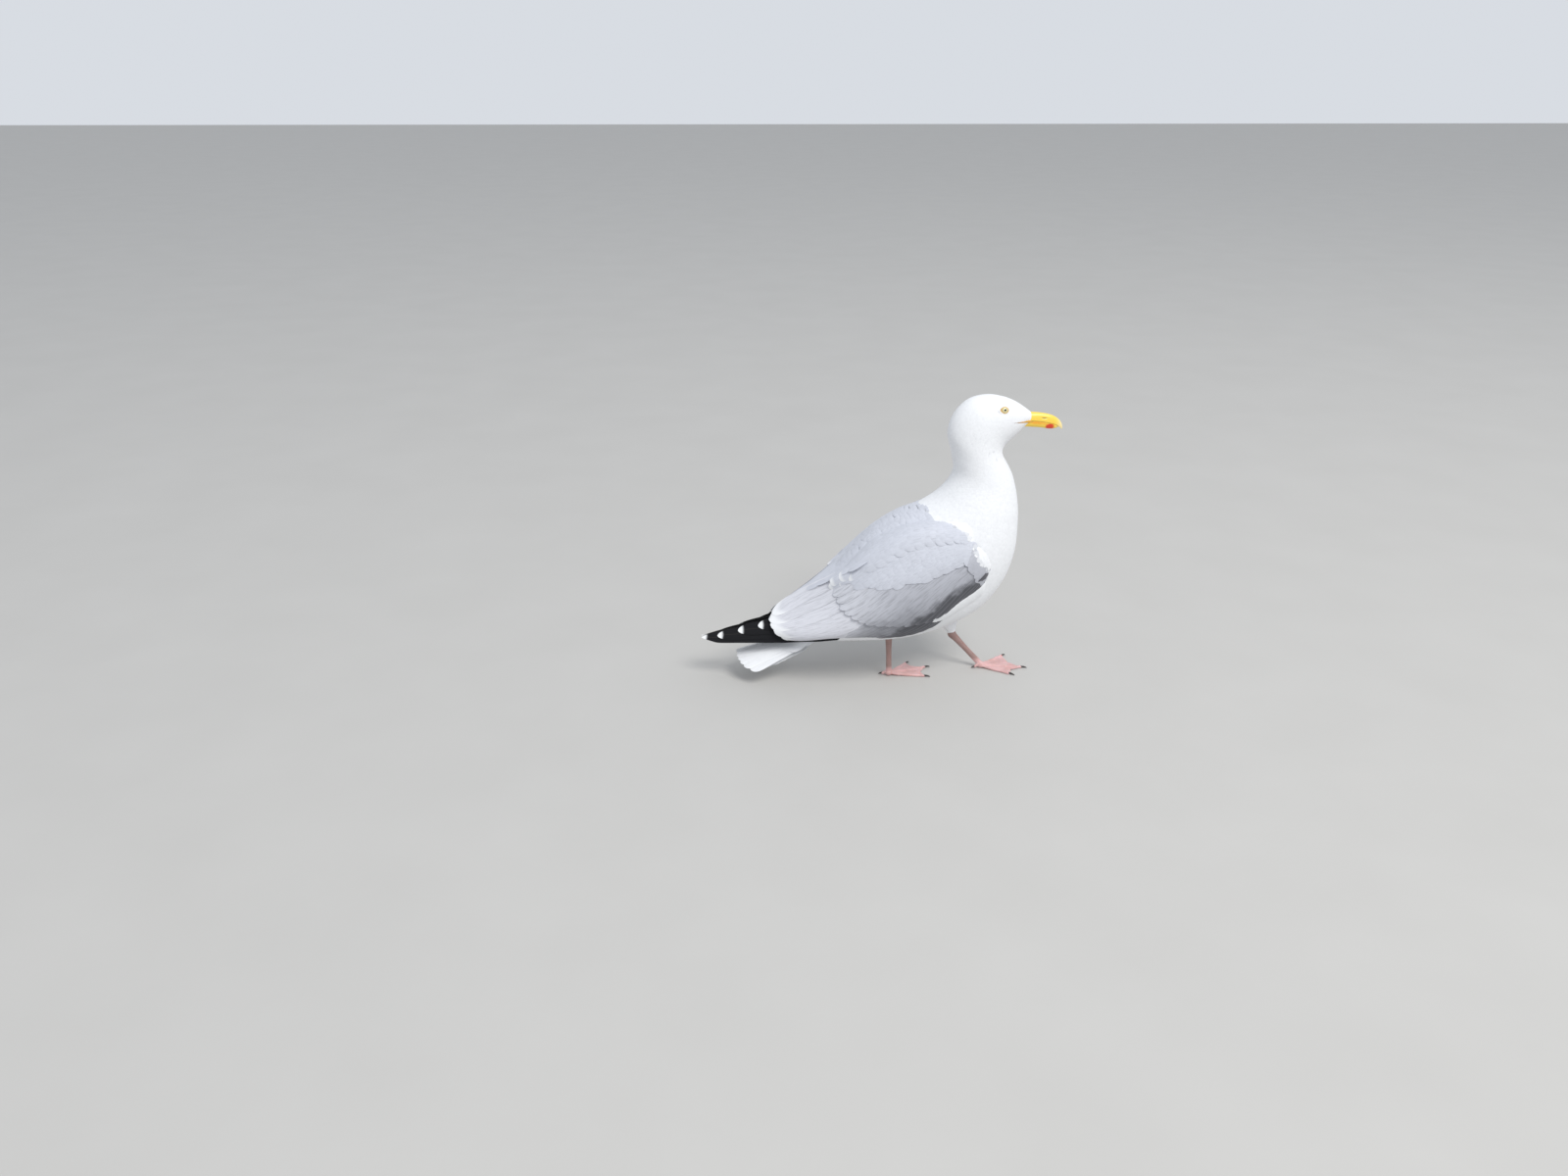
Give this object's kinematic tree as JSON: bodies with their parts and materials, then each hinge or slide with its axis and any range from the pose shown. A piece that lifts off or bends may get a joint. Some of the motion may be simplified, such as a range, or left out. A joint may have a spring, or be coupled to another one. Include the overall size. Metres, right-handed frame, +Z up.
{
  "type": "herring gull",
  "caption": "Life-size adult herring gull in mid-stride, white with grey wings, black wing tips, yellow bill and pink webbed feet.",
  "frame": {"origin": "on the floor, under the middle of the bird's length and width", "axes": "+X the way the bird faces, +Y towards its left wing, +Z up"},
  "size_m": [0.4821, 0.151, 0.3997],
  "materials": {
    "plumage_white": "dense soft white feathers",
    "plumage_grey": "smooth pale blue-grey feathers",
    "plumage_black": "black flight feathers with white tips",
    "bill_horn": "smooth yellow horn with a red spot",
    "eye": "wet pale yellow iris and black pupil",
    "leg_skin": "scaly pink skin and soft webs",
    "claw_horn": "dark horn"
  },
  "bodies": {
    "root": {"head": "plumage_white", "neck": "plumage_white", "trunk": "plumage_white", "mantle": "plumage_grey", "tail": "plumage_white", "wing_right": "plumage_grey", "wing_left": "plumage_grey", "tertials_right": "plumage_grey", "tertials_left": "plumage_grey", "primaries_right": "plumage_black", "primaries_left": "plumage_black", "thigh_right": "plumage_white", "thigh_left": "plumage_white", "shank_right": "leg_skin", "shank_left": "leg_skin", "foot_right": "leg_skin", "foot_left": "leg_skin", "claw_inner_right": "claw_horn", "claw_middle_right": "claw_horn", "claw_outer_right": "claw_horn", "claw_hind_right": "claw_horn", "claw_inner_left": "claw_horn", "claw_middle_left": "claw_horn", "claw_outer_left": "claw_horn", "claw_hind_left": "claw_horn", "bill_upper": "bill_horn", "bill_lower": "bill_horn", "eye_right": "eye", "eye_left": "eye"}
  },
  "joints": []
}
